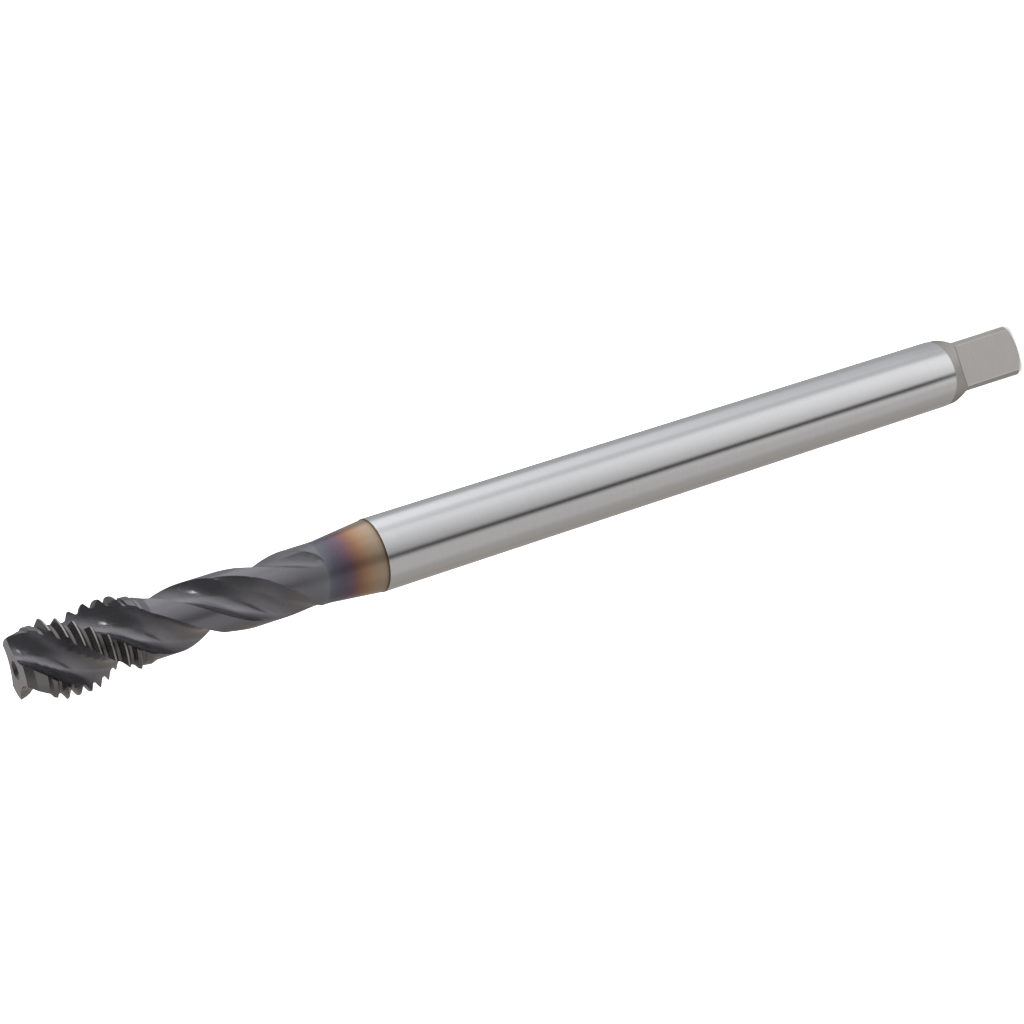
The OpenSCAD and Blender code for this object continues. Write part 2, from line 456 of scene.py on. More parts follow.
def add_node(tree, kind, **settings):
    """A new node with its settings."""
    node = tree.nodes.new(kind)
    for name, value in settings.items():
        setattr(node, name, value)
    return node


def on_faces(field):
    """The value of a field on whole faces."""
    node = add_node(field.tree, "GeometryNodeFieldOnDomain", domain="FACE", data_type="FLOAT")
    link(field.tree, field.socket, node.inputs["Value"])
    return Field(field.tree, node.outputs["Value"])


def side_radius(size, step, edge, floor_r):
    """Radius of one of a side's steps from the floor of the flute, 0, to its edge."""
    plain_steps = SIDE_COLUMNS - TOOTH_COLUMNS
    inner = low(edge, size.root_radius)
    rise = step / plain_steps
    below = floor_r + (inner - floor_r) * rise * rise
    above = inner + (edge - inner) * (step - plain_steps) / TOOTH_COLUMNS
    return pick(less(step, plain_steps + 0.5), below, above)


def nominal_angle(size, column):
    """Angle of a column from the cutting edge of its flute, the same all along it."""
    plain_steps = SIDE_COLUMNS - TOOTH_COLUMNS
    on_face = size.face_angle * low(1, high(0, (column - TOOTH_COLUMNS) / plain_steps))
    on_back = size.back_angle * low(1, high(0, (column - SIDE_COLUMNS) / plain_steps))
    on_land = size.land_angle * high(0, (column - 2 * SIDE_COLUMNS) / LAND_COLUMNS)
    return on_face + on_back + on_land


def build_head_tree(materials):
    """The tree of the head: a grid whose rows follow the thread and whose columns follow the flutes."""
    tree = bpy.data.node_groups.new("Cutting head", "GeometryNodeTree")
    tree.is_modifier = True
    tree.interface.new_socket("Geometry", in_out="OUTPUT", socket_type="NodeSocketGeometry")
    for name in HEAD_INPUTS:
        label = name.replace("_", " ").capitalize()
        socket = tree.interface.new_socket(label, in_out="INPUT", socket_type="NodeSocketFloat")
        socket.subtype = "DISTANCE" if name in BLANK_INPUTS else HeadSizes.bl_rna.properties[name].subtype
    start = tree.nodes.new("NodeGroupInput")
    fields = {name: Field(tree, start.outputs[place]) for place, name in enumerate(HEAD_INPUTS)}
    size = with_derived(SimpleNamespace(**fields))

    # Turns of the thread that start above the tip and finish below its last thread, whatever the column
    first_cycle = calculate("CEIL", -0.5 - size.thread_phase - size.flute_start / TURN) + 1
    end_turn = flute_turn(size, size.thread_length) / TURN
    last_cycle = floor(-size.thread_length / size.pitch - size.thread_phase - 1.5 - end_turn) - 2
    thread_rows = PITCH_ROWS * (first_cycle - last_cycle)
    rows = FACE_ROWS + thread_rows + 1 + NECK_ROWS
    columns = size.flute_count * FLUTE_COLUMNS

    # Whole numbers are compared half a step off, so that rounding can't move a point to the next row
    index = Field(tree, tree.nodes.new("GeometryNodeInputIndex").outputs[0])
    row = floor((index + 0.5) / (columns + 1))
    column = index - row * (columns + 1)
    flute = floor((column + 0.5) / FLUTE_COLUMNS)
    column = column - flute * FLUTE_COLUMNS
    thread_row = row - FACE_ROWS
    in_face = less(row, FACE_ROWS - 0.5)
    on_land = less(2 * SIDE_COLUMNS + 0.5, column)
    on_back = less(SIDE_COLUMNS + 0.5, column)

    # The depth of each row
    flute_start = size.flute_step * flute
    nominal = flute_start + nominal_angle(size, column)
    cycle = floor((thread_row + 0.5) / PITCH_ROWS)
    part = thread_row - cycle * PITCH_ROWS
    crest = crest_depth(size, first_cycle - cycle, nominal)
    tip_side = crest_side(size, crest, 1)
    neck_side = crest_side(size, crest, -1)
    up_flank = low(1, part / FLANK_ROWS)
    down_flank = high(0, (part - FLANK_ROWS - 1) / FLANK_ROWS)
    before = -size.root_half + (size.root_half - tip_side) * up_flank
    after = neck_side + (size.root_half - neck_side) * down_flank
    offset = pick(less(part, FLANK_ROWS + 0.5), before, after)
    thread_depth = high(0, low(size.thread_length, crest + offset))
    neck_row = high(0, thread_row - thread_rows) / NECK_ROWS
    eased = calculate("SINE", neck_row * (math.pi / 2))
    neck_depth = size.thread_length + (size.flute_length - size.thread_length) * eased
    pilot = size.hole_radius * PILOT_SHARE
    pilot_top = (size.hole_radius - pilot) / CENTRE_SLOPE
    pilot_end = size.hole_radius * PILOT_DEPTH
    below_mouth = pick(less(row, 1.5), pilot_end, less(row, 2.5) * pilot_top)
    hole_depth = below_mouth + less(row, 0.5) * pilot / DRILL_SLOPE
    depth = pick(in_face, hole_depth, pick(less(0, neck_row), neck_depth, thread_depth))

    # The radius of each point
    turned = flute_turn(size, depth)
    floor_r = floor_radius(size, depth)
    edge_nominal = flute_start + on_land * size.flute_step
    heel_nominal = flute_start + size.flute_angle
    edge_outline = high(floor_r, land_outline(size, turned + edge_nominal, depth))
    heel_outline = high(floor_r, land_outline(size, turned + heel_nominal, depth))
    own_outline = high(floor_r, land_outline(size, turned + nominal, depth))
    level = pick(in_face, high(0, row - HOLE_ROWS), SIDE_COLUMNS)
    step = low(level, calculate("ABSOLUTE", column - SIDE_COLUMNS))
    side_r = side_radius(size, step, pick(on_back, heel_outline, edge_outline), floor_r)
    edge_r = side_radius(size, level, edge_outline, floor_r)
    heel_r = side_radius(size, level, heel_outline, floor_r)
    land_r = pick(in_face, edge_r, own_outline)
    radius = pick(on_land, land_r, side_r)
    hole_r = pick(less(row, 2.5), less(0.5, row) * pilot, size.hole_radius)
    in_hole = less(row, HOLE_ROWS - 0.5)

    # The angle of each point
    deepest = turned + flute_start + size.face_angle
    face_side = deepest - arc_angle(size.face_arc, floor_r, side_r)
    back_side = deepest + arc_angle(size.back_arc, floor_r, side_r)
    heel = deepest + arc_angle(size.back_arc, floor_r, heel_r)
    next_edge = deepest + size.flute_step - arc_angle(size.face_arc, floor_r, edge_r)
    across = (column - 2 * SIDE_COLUMNS) / LAND_COLUMNS
    land_angle = heel + (next_edge - heel) * across
    turn = pick(on_land, land_angle, pick(on_back, back_side, face_side))
    radius = pick(in_hole, hole_r, low(radius, flank_cut(size, turn - deepest, depth)))

    position = tree.nodes.new("ShaderNodeCombineXYZ")
    feed(tree, radius * calculate("COSINE", turn), position.inputs["X"])
    feed(tree, radius * calculate("SINE", turn), position.inputs["Y"])
    feed(tree, size.overall_length - depth, position.inputs["Z"])

    # Which faces lie on the flutes, on the thread and on the tip
    face_row = floor((index + 0.5) / columns)
    face_column = index - face_row * columns
    face_column = face_column - floor((face_column + 0.5) / FLUTE_COLUMNS) * FLUTE_COLUMNS
    face_on_land = on_faces(less(2 * SIDE_COLUMNS - 0.5, face_column))
    before_neck = less(face_row, FACE_ROWS + thread_rows)
    face_on_thread = on_faces(less(2 * SIDE_COLUMNS - 0.5, face_column) * before_neck)
    face_on_tip = on_faces(less(face_row, FACE_ROWS - 0.5))
    face_in_hole = on_faces(less(face_row, HOLE_ROWS - 1.5))
    # The lay of the grinding: x crosses the marks and y runs along them
    lay = tree.nodes.new("ShaderNodeCombineXYZ")
    feed(tree, pick(face_on_land, radius + depth, column * LAY_STEP), lay.inputs["X"])
    feed(tree, pick(face_on_land, size.neck_radius * turn, depth), lay.inputs["Y"])

    grid = tree.nodes.new("GeometryNodeMeshGrid")
    feed(tree, rows + 0.5, grid.inputs["Vertices X"])
    feed(tree, columns + 1.5, grid.inputs["Vertices Y"])
    placed = tree.nodes.new("GeometryNodeSetPosition")
    link(tree, grid.outputs["Mesh"], placed.inputs["Geometry"])
    link(tree, position.outputs[0], placed.inputs["Position"])
    marked = add_node(tree, "GeometryNodeStoreNamedAttribute", data_type="FLOAT2", domain="CORNER")
    marked.inputs["Name"].default_value = "lay"
    link(tree, placed.outputs[0], marked.inputs["Geometry"])
    link(tree, lay.outputs[0], marked.inputs["Value"])
    geometry = marked.outputs[0]
    for zone, selection in ((0, None), (1, face_on_thread), (2, face_on_tip), (3, face_in_hole)):
        painted = tree.nodes.new("GeometryNodeSetMaterial")
        painted.inputs["Material"].default_value = materials[zone]
        link(tree, geometry, painted.inputs["Geometry"])
        if selection:
            link(tree, selection.socket, painted.inputs["Selection"])
        geometry = painted.outputs[0]
    merged = tree.nodes.new("GeometryNodeMergeByDistance")
    merged.inputs["Distance"].default_value = MERGE_DISTANCE
    link(tree, geometry, merged.inputs["Geometry"])
    realized = tree.nodes.new("GeometryNodeRealizeInstances")
    link(tree, merged.outputs[0], realized.inputs[0])
    end = tree.nodes.new("NodeGroupOutput")
    link(tree, realized.outputs[0], end.inputs["Geometry"])
    return tree


def make_head_mesh(scene, materials):
    """The cutting head as a plain mesh, open where it meets the neck."""
    tree = build_head_tree(materials)
    piece = bpy.data.objects.new("cutting_head", bpy.data.meshes.new("cutting_head"))
    scene.collection.objects.link(piece)
    modifier = piece.modifiers.new("Cutting head", "NODES")
    modifier.node_group = tree
    numbers = head_numbers(scene)
    inputs = [item for item in tree.interface.items_tree if item.in_out == "INPUT"]
    for item, name in zip(inputs, HEAD_INPUTS):
        modifier[item.identifier] = numbers[name]
    evaluated = piece.evaluated_get(bpy.context.evaluated_depsgraph_get())
    mesh = bpy.data.meshes.new_from_object(evaluated)
    bpy.data.objects.remove(piece)
    # The grid starts with an empty slot, which none of its faces uses
    mesh.materials.pop(index=0)
    return mesh


# The turned blank

SHANK_RINGS = 12
FILLET_RINGS = 5
CONE_RINGS = 4
FLAT_COLUMNS = 11
QUARTER = math.pi / 2


def square_angles(blank):
    """Angles of the columns round the square, which meet the edges of its flats."""
    edge = math.acos(blank.square_width / 2 / blank.corner_radius)
    eighth = [edge * step / FLAT_COLUMNS for step in range(FLAT_COLUMNS)] + [edge]
    quarter = eighth + [QUARTER / 2] + [QUARTER - turn for turn in reversed(eighth[1:])]
    return [side * QUARTER + turn for side in range(4) for turn in quarter]


def off_flat(turn):
    """Angle from the middle of the nearest flat."""
    return (turn + QUARTER / 2) % QUARTER - QUARTER / 2


def square_radius(blank, turn):
    """Radius of the square's outline: its flats within its turned corners."""
    return min(blank.corner_radius, blank.square_width / 2 / math.cos(off_flat(turn)))


def blank_rings(blank, size):
    """The blank's rings from the flutes down to the centre hole: twist, material and outline by angle."""
    def plain(radius, height):
        return lambda turn: (radius, height)

    def flat_end(turn):
        rise = blank.corner_radius * math.cos(off_flat(turn)) - blank.square_width / 2
        return blank.corner_radius, blank.square_length + max(0, rise) / math.tan(blank.flat_end_slope)

    def flat_start(turn):
        return square_radius(blank, turn), blank.square_length

    def chamfer_edge(turn):
        radius = square_radius(blank, turn)
        return radius, (radius - blank.end_face_radius) * math.tan(blank.end_chamfer)

    neck_end = OVERALL_LENGTH - size.flute_length
    cone_radius = blank.shank_radius - blank.ring_step
    slope = math.tan(blank.cone_angle)
    cone_top = blank.shank_top + (cone_radius - blank.neck_radius) / slope
    rings = [(0, "coated", plain(blank.neck_radius, neck_end))]
    # A fillet blends the cone into the neck
    reach = blank.neck_fillet * math.tan(blank.cone_angle / 2)
    for step in range(FILLET_RINGS + 1):
        turn = blank.cone_angle * step / FILLET_RINGS
        radius = blank.neck_radius + blank.neck_fillet * (1 - math.cos(turn))
        rings.append((0, "coated", plain(radius, cone_top + reach - blank.neck_fillet * math.sin(turn))))
    for step in range(1, CONE_RINGS + 1):
        height = cone_top - reach - (cone_top - reach - blank.shank_top) * step / CONE_RINGS
        rings.append((0, "coated", plain(cone_radius - (height - blank.shank_top) * slope, height)))
    rings.append((0, "ground", plain(blank.shank_radius, blank.shank_top - blank.ring_step / 2)))
    for step in range(1, SHANK_RINGS + 1):
        way = step / SHANK_RINGS
        height = blank.shank_top + (blank.shank_bottom - blank.shank_top) * way
        rings.append((way, "turned" if step == SHANK_RINGS else "ground", plain(blank.shank_radius, height)))
    hole = blank.end_hole_radius
    pilot = hole * PILOT_SHARE
    drive = (
        ("turned", plain(blank.corner_radius, blank.shank_bottom - blank.taper_length)),
        ("square", flat_end),
        ("square", flat_start),
        ("turned", chamfer_edge),
        ("turned", plain(blank.end_face_radius, 0)),
        ("turned", plain(hole, 0)),
        ("turned", plain(pilot, (hole - pilot) / CENTRE_SLOPE)),
        ("turned", plain(pilot, hole * PILOT_DEPTH)),
        ("turned", plain(0, hole * PILOT_DEPTH + pilot / DRILL_SLOPE)),
    )
    return rings + [(1, zone, outline) for zone, outline in drive]


def blank_columns(blank, size):
    """For each column, its angle at the flutes and its angle at the square, which differ a little."""
    start = flute_turn(size, size.flute_length) + size.face_angle
    square = square_angles(blank)
    step = TURN / BLANK_COLUMNS
    first = round(start / step)
    columns = []
    for column in range(BLANK_COLUMNS):
        turns, place = divmod(first + column, BLANK_COLUMNS)
        columns.append((start + column * step, square[place] + turns * TURN))
    return columns


def join_blank(mesh, blank, size, zones):
    """Adds the blank to the head's mesh and joins the two where the flutes end."""
    bm = bmesh.new()
    bm.from_mesh(mesh)
    columns = blank_columns(blank, size)
    flat_edge = math.acos(blank.square_width / 2 / blank.corner_radius)
    previous = None
    for way, zone, outline in blank_rings(blank, size):
        ring = []
        for at_flutes, at_square in columns:
            turn = at_flutes + (at_square - at_flutes) * way
            radius, height = outline(turn)
            ring.append(bm.verts.new((radius * math.cos(turn), radius * math.sin(turn), height)))
        if previous:
            for column in range(BLANK_COLUMNS):
                after = (column + 1) % BLANK_COLUMNS
                face = bm.faces.new((previous[column], ring[column], ring[after], previous[after]))
                middle = columns[column][1] + math.pi / BLANK_COLUMNS
                square = "milled" if abs(off_flat(middle)) < flat_edge else "turned"
                face.material_index = zones[square if last_zone == "square" else last_zone]
        previous = ring
        last_zone = zone
    bmesh.ops.remove_doubles(bm, verts=bm.verts, dist=MERGE_DISTANCE)
    bmesh.ops.dissolve_degenerate(bm, edges=bm.edges, dist=MERGE_DISTANCE / 10)
    bm.to_mesh(mesh)
    bm.free()
    mesh.shade_smooth()
    mesh.set_sharp_from_angle(angle=SHARP_ANGLE)


# Materials

def shader_group(name, vectors, numbers, result):
    """A shader group with named inputs and one named result, and its two end nodes."""
    tree = bpy.data.node_groups.new(name, "ShaderNodeTree")
    for kind, labels in (("NodeSocketVector", vectors), ("NodeSocketFloat", numbers)):
        for label in labels:
            tree.interface.new_socket(label, in_out="INPUT", socket_type=kind)
    tree.interface.new_socket(result, in_out="OUTPUT", socket_type="NodeSocketFloat")
    return tree, tree.nodes.new("NodeGroupInput"), tree.nodes.new("NodeGroupOutput")


def make_fine_lines():
    """A shader group: fine marks left by a grinding wheel or a mill, across the given direction."""
    tree, start, end = shader_group("Fine lines", ("Vector", "Stretch"), ("Contrast",), "Lines")
    stretch = add_node(tree, "ShaderNodeVectorMath", operation="MULTIPLY")
    link(tree, start.outputs["Vector"], stretch.inputs[0])
    link(tree, start.outputs["Stretch"], stretch.inputs[1])
    noise = tree.nodes.new("ShaderNodeTexNoise")
    noise.inputs["Scale"].default_value = 1
    noise.inputs["Detail"].default_value = 3
    noise.inputs["Roughness"].default_value = 0.7
    link(tree, stretch.outputs[0], noise.inputs["Vector"])
    centred = add_node(tree, "ShaderNodeMath", operation="SUBTRACT")
    centred.inputs[1].default_value = 0.5
    link(tree, noise.outputs["Fac"], centred.inputs[0])
    spread = add_node(tree, "ShaderNodeMath", operation="MULTIPLY_ADD", use_clamp=True)
    spread.inputs[2].default_value = 0.5
    link(tree, centred.outputs[0], spread.inputs[0])
    link(tree, start.outputs["Contrast"], spread.inputs[1])
    link(tree, spread.outputs[0], end.inputs["Lines"])
    return tree


def make_radius_mask():
    """A shader group: 1 outside a radius round the tap's axis, 0 within another, and an even rise between."""
    tree, start, end = shader_group("Radius mask", ("Vector",), ("Inner", "Outer"), "Mask")
    split = tree.nodes.new("ShaderNodeSeparateXYZ")
    link(tree, start.outputs["Vector"], split.inputs[0])
    x, y = (Field(tree, split.outputs[axis]) for axis in "XY")
    span = tree.nodes.new("ShaderNodeMapRange")
    feed(tree, root(x * x + y * y), span.inputs["Value"])
    link(tree, start.outputs["Inner"], span.inputs["From Min"])
    link(tree, start.outputs["Outer"], span.inputs["From Max"])
    link(tree, span.outputs[0], end.inputs["Mask"])
    return tree


def make_height_mask():
    """A shader group: 1 at a height on the tap, fading to 0 over a distance above and below."""
    numbers = ("Height", "Half width", "Fade")
    tree, start, end = shader_group("Height mask", ("Vector",), numbers, "Mask")
    split = tree.nodes.new("ShaderNodeSeparateXYZ")
    link(tree, start.outputs["Vector"], split.inputs[0])
    given = {name: Field(tree, start.outputs[name]) for name in numbers}
    off = calculate("ABSOLUTE", Field(tree, split.outputs["Z"]) - given["Height"])
    feed(tree, low(1, high(0, 1 - (off - given["Half width"]) / given["Fade"])), end.inputs["Mask"])
    return tree


class Groups:
    """The shader groups that the materials share."""

    def __init__(self):
        self.lines = make_fine_lines()
        self.radius = make_radius_mask()
        self.height = make_height_mask()


class Finish:
    """One material that is being built, with the calls that its finishes share."""

    def __init__(self, name, roughness):
        self.material = bpy.data.materials.new(name)
        self.material.use_nodes = True
        self.tree = self.material.node_tree
        self.tree.nodes.clear()
        self.shader = self.tree.nodes.new("ShaderNodeBsdfPrincipled")
        self.shader.inputs["Metallic"].default_value = 1
        self.shader.inputs["Roughness"].default_value = roughness
        output = self.tree.nodes.new("ShaderNodeOutputMaterial")
        link(self.tree, self.shader.outputs[0], output.inputs["Surface"])

    def add(self, kind, **settings):
        """A new node of the material."""
        return add_node(self.tree, kind, **settings)

    def place(self):
        """Coordinates on the object."""
        return self.add("ShaderNodeTexCoord").outputs["Object"]

    def lines(self, group, vector, stretch, contrast):
        """Fine marks across a direction, from 0 to 1."""
        node = self.add("ShaderNodeGroup")
        node.node_tree = group
        node.inputs["Stretch"].default_value = stretch
        node.inputs["Contrast"].default_value = contrast
        link(self.tree, vector, node.inputs["Vector"])
        return node.outputs["Lines"]

    def mask(self, group, **values):
        """A mask from a shared group, from 0 to 1."""
        node = self.add("ShaderNodeGroup")
        node.node_tree = group
        link(self.tree, self.place(), node.inputs["Vector"])
        for name, value in values.items():
            node.inputs[name.replace("_", " ").capitalize()].default_value = value
        return node.outputs["Mask"]

    def blend(self, factor, first, second, mode="MIX"):
        """Two colours blended by a factor."""
        node = self.add("ShaderNodeMix", data_type="RGBA", blend_type=mode)
        for value, place in ((factor, node.inputs[0]), (first, node.inputs[6]), (second, node.inputs[7])):
            if isinstance(value, bpy.types.NodeSocket):
                link(self.tree, value, place)
            elif isinstance(value, (int, float)):
                place.default_value = value
            else:
                place.default_value = (*value, 1)
        return node.outputs[2]

    def between(self, value, low_end, high_end):
        """A value from 0 to 1 spread between two ends."""
        node = self.add("ShaderNodeMapRange")
        node.inputs["To Min"].default_value = low_end
        node.inputs["To Max"].default_value = high_end
        link(self.tree, value, node.inputs["Value"])
        return node.outputs[0]

    def spread(self, value, middle, reach):
        """A value from 0 to 1 spread evenly to both sides of a middle."""
        return self.between(value, middle - reach, middle + reach)

    def total(self, first, second):
        """Two values added up."""
        node = self.add("ShaderNodeMath", operation="ADD")
        link(self.tree, first, node.inputs[0])
        link(self.tree, second, node.inputs[1])
        return node.outputs[0]

    def bump(self, height, distance):
        """A fine relief."""
        node = self.add("ShaderNodeBump")
        node.inputs["Strength"].default_value = 1
        node.inputs["Distance"].default_value = distance
        link(self.tree, height, node.inputs["Height"])
        link(self.tree, node.outputs[0], self.shader.inputs["Normal"])

    def colour(self, value):
        """Sets the base colour."""
        link(self.tree, value, self.shader.inputs["Base Color"])

    def roughness(self, value):
        """Sets the roughness."""
        link(self.tree, value, self.shader.inputs["Roughness"])


def shade(tint, factor):
    """A darker or lighter tone of a colour."""
    return tuple(min(1, part * factor) for part in tint)


# Marks of the tools, as the stretch of the noise along each direction and its contrast
GRINDING_FINE = (180, 180, 26000), 1.6
GRINDING_COARSE = (60, 60, 5000), 1.2
CUTTING_FINE = (500, 500, 9000), 1.8
CUTTING_COARSE = (250, 250, 3200), 1.6
COATING_STREAKS = (9000, 260, 1), 1.8
COATING_CLOUD = (900, 900, 900), 1.6
CUTTING_RELIEF = 0.004 * MM

# Tones of the marks as factors of a colour, and the spread of roughness to each side
GROUND_TONES = 0.93, 1.06
CUT_TONES = 0.88, 1.1
COATING_TONES = (0.86, 0.86, 0.86), (1.0, 1.0, 1.0)
GROUND_SPREAD = 0.03
CUT_SPREAD = 0.06
COATING_SPREAD = 0.04

# Painted highlight along the edges of the square's flats, and a line of painted shade in the crease where the
# flats end
CORNER_HIGHLIGHT_TONE = 1.3
CORNER_HIGHLIGHT_WIDTH = 0.12 * MM
PAINTED_SHADE_TONE = 0.4
SHADE_LINE_HALF_WIDTH = 0.06 * MM
SHADE_LINE_FADE = 0.08 * MM
# Turned steel gleams less at grazing angles, and near the end face it is darkened with painted shade, as dark
# as that line
TURNED_SPECULAR = (0.4, 0.4, 0.4, 1)
END_SHADE_HEIGHT = 0.8 * MM
END_SHADE_FADE = 0.1 * MM

# Where the coating is lighter, darker or duller, and where a highlight is painted on the crests
TIP_TONE = 3.0
HOLE_TONE = 0.8
THREAD_END_HALF_WIDTH = 0.8 * MM
THREAD_END_FADE = 1.2 * MM
CHAMFER_TONE_SHARE = 0.35
CHAMFER_REACH = 2.2 * MM
CHAMFER_FADE = 2 * MM
# Painted highlight on the crests of the thread
CREST_HIGHLIGHT_START = 0.05 * MM
CREST_HIGHLIGHT_FULL = 0.01 * MM
RUN_OUT_HEIGHT = 2.2 * MM
RUN_OUT_HALF_WIDTH = 0.6 * MM
RUN_OUT_FADE = 4.5 * MM


def make_ground_steel(finish, groups):
    """Bright steel with fine marks round it from the grinding wheel."""
    made = Finish("ground_steel", finish.steel_roughness)
    place = made.place()
    fine = made.lines(groups.lines, place, *GRINDING_FINE)
    coarse = made.lines(groups.lines, place, *GRINDING_COARSE)
    tone = made.blend(0.5, fine, coarse)
    made.colour(made.blend(tone, *(shade(finish.steel, factor) for factor in GROUND_TONES)))
    made.roughness(made.spread(fine, finish.steel_roughness, GROUND_SPREAD))
    return made.material


def make_cut_steel(name, finish, groups, base, edge_radius, flat_end):
    """Matte steel with marks across the tap's length. Flats have a painted highlight along their corners and
    a line of painted shade at their end; turned steel has painted shade near the end face.
    """
    made = Finish(name, finish.milled_roughness)
    place = made.place()
    fine = made.lines(groups.lines, place, *CUTTING_FINE)
    coarse = made.lines(groups.lines, place, *CUTTING_COARSE)
    tone = made.blend(0.5, fine, coarse)
    tint = made.blend(tone, *(shade(base, factor) for factor in CUT_TONES))
    if edge_radius:
        # Painted highlight along the corners of the flats
        edge = made.mask(groups.radius, inner=edge_radius - CORNER_HIGHLIGHT_WIDTH, outer=edge_radius)
        tint = made.blend(edge, tint, shade(base, CORNER_HIGHLIGHT_TONE))
        # Painted shade: a dark line in the crease where each flat ends
        dark = made.mask(groups.height, height=flat_end, half_width=SHADE_LINE_HALF_WIDTH, fade=SHADE_LINE_FADE)
    else:
        made.shader.inputs["Specular Tint"].default_value = TURNED_SPECULAR
        # Painted shade over the end face and its chamfer
        dark = made.mask(groups.height, height=0, half_width=END_SHADE_HEIGHT, fade=END_SHADE_FADE)
    made.colour(made.blend(dark, tint, shade(base, PAINTED_SHADE_TONE)))
    made.roughness(made.spread(fine, finish.milled_roughness, CUT_SPREAD))
    made.bump(tone, CUTTING_RELIEF)
    return made.material


# Temper colours along the cone, by the distance from the ring towards the tip.
# The first two stops were given one by one. Another program worked out the others from mean colours of the
# photo and of the picture, and they were then rounded or changed by up to about a tenth.
TEMPER_AND_STEP_SHADE = (
    # The first two stops, darkest next to the ring, paint the shade of the ring's step over the temper colour
    (0.0, (0.12, 0.07, 0.045)),
    (0.13 * MM, (0.16, 0.10, 0.065)),
    (0.32 * MM, (0.34, 0.25, 0.175)),
    (0.8 * MM, (0.39, 0.305, 0.23)),
    (1.6 * MM, (0.40, 0.29, 0.20)),
    (2.5 * MM, (0.39, 0.245, 0.155)),
    (3.2 * MM, (0.35, 0.195, 0.12)),
    (3.8 * MM, (0.285, 0.155, 0.11)),
    (4.4 * MM, (0.23, 0.12, 0.122)),
    (5.0 * MM, (0.175, 0.108, 0.142)),
    (5.8 * MM, (0.14, 0.112, 0.148)),
    (6.8 * MM, (0.138, 0.134, 0.17)),
    (7.6 * MM, (0.15, 0.158, 0.188)),
    (7.85 * MM, (0.165, 0.17, 0.195)),
    (8.05 * MM, (0.215, 0.215, 0.235)),
)
TEMPER_LENGTH = 11 * MM
TEMPER_WAVE = 0.7 * MM
TEMPER_WAVE_GROWTH = 0.15
TEMPER_WAVE_SCALE = 260


def temper_colours_and_step_shade(made, base, ring_height):
    """The base colour, with slightly uneven temper colours next to the ring, and painted shade of the ring's
    step right beside it.
    """
    split = made.add("ShaderNodeSeparateXYZ")
    link(made.tree, made.place(), split.inputs[0])
    wave = made.add("ShaderNodeTexNoise")
    wave.inputs["Scale"].default_value = TEMPER_WAVE_SCALE
    wave.inputs["Detail"].default_value = 1
    link(made.tree, made.place(), wave.inputs["Vector"])
    up = Field(made.tree, split.outputs["Z"]) - ring_height
    # Even next to the ring, uneven further on
    reach_of_wave = low(TEMPER_WAVE, high(0, up) * TEMPER_WAVE_GROWTH)
    uneven = (Field(made.tree, wave.outputs["Fac"]) - 0.5) * reach_of_wave
    reach = made.add("ShaderNodeMapRange")
    reach.inputs["From Max"].default_value = TEMPER_LENGTH
    feed(made.tree, up + uneven, reach.inputs["Value"])
    ramp = made.add("ShaderNodeValToRGB")
    stops = ramp.color_ramp.elements
    while len(stops) < len(TEMPER_AND_STEP_SHADE) + 1:
        stops.new(0.5)
    for stop, (distance, tint) in zip(stops, (*TEMPER_AND_STEP_SHADE, (TEMPER_LENGTH, base))):
        stop.position = distance / TEMPER_LENGTH
        stop.color = (*tint, 1)
    link(made.tree, reach.outputs[0], ramp.inputs["Fac"])
    return ramp.outputs["Color"]


def make_coating(name, scene, groups, base, worn=False):
    """The dark coating, with marks along the lay of the grinding, temper colours with painted shade at the
    ring's step, and on the thread a lighter cutting chamfer and a painted highlight on the crests.
    """
    finish = scene.tap_finish
    blank = scene.tap_blank
    made = Finish(name, finish.coating_roughness)
    place = made.place()
    lay = made.add("ShaderNodeAttribute", attribute_name="lay").outputs["Vector"]
    streaks = made.lines(groups.lines, lay, *COATING_STREAKS)
    cloud = made.lines(groups.lines, place, *COATING_CLOUD)
    tone = made.blend(0.5, streaks, cloud)
    made.shader.inputs["Metallic"].default_value = finish.coating_metal
    tint = temper_colours_and_step_shade(made, base, blank.shank_top)
    if worn:
        end = OVERALL_LENGTH - scene.tap_head.thread_length
        neck = made.mask(groups.height, height=end, half_width=THREAD_END_HALF_WIDTH, fade=THREAD_END_FADE)
        tint = made.blend(neck, tint, finish.coating)
        tip = made.mask(groups.height, height=OVERALL_LENGTH, half_width=CHAMFER_REACH, fade=CHAMFER_FADE)
        tint = made.blend(tip, tint, made.blend(CHAMFER_TONE_SHARE, tint, finish.worn_edge))
        # Painted highlight on the crests of the thread
        crest = scene.tap_head.major_radius
        edge = made.mask(groups.radius, inner=crest - CREST_HIGHLIGHT_START, outer=crest - CREST_HIGHLIGHT_FULL)
        tint = made.blend(edge, tint, finish.worn_edge)
    made.colour(made.blend(1.0, tint, made.blend(tone, *COATING_TONES), "MULTIPLY"))
    middle = blank.shank_top + cone_length(blank) + RUN_OUT_HEIGHT
    run_out = made.mask(groups.height, height=middle, half_width=RUN_OUT_HALF_WIDTH, fade=RUN_OUT_FADE)
    dull = made.between(run_out, 0, finish.run_out_dulling)
    made.roughness(made.total(made.spread(tone, finish.coating_roughness, COATING_SPREAD), dull))
    return made.material


# Operators

def scene_sizes(scene):
    """The head's sizes with what follows from them."""
    return with_derived(SimpleNamespace(**head_numbers(scene)))


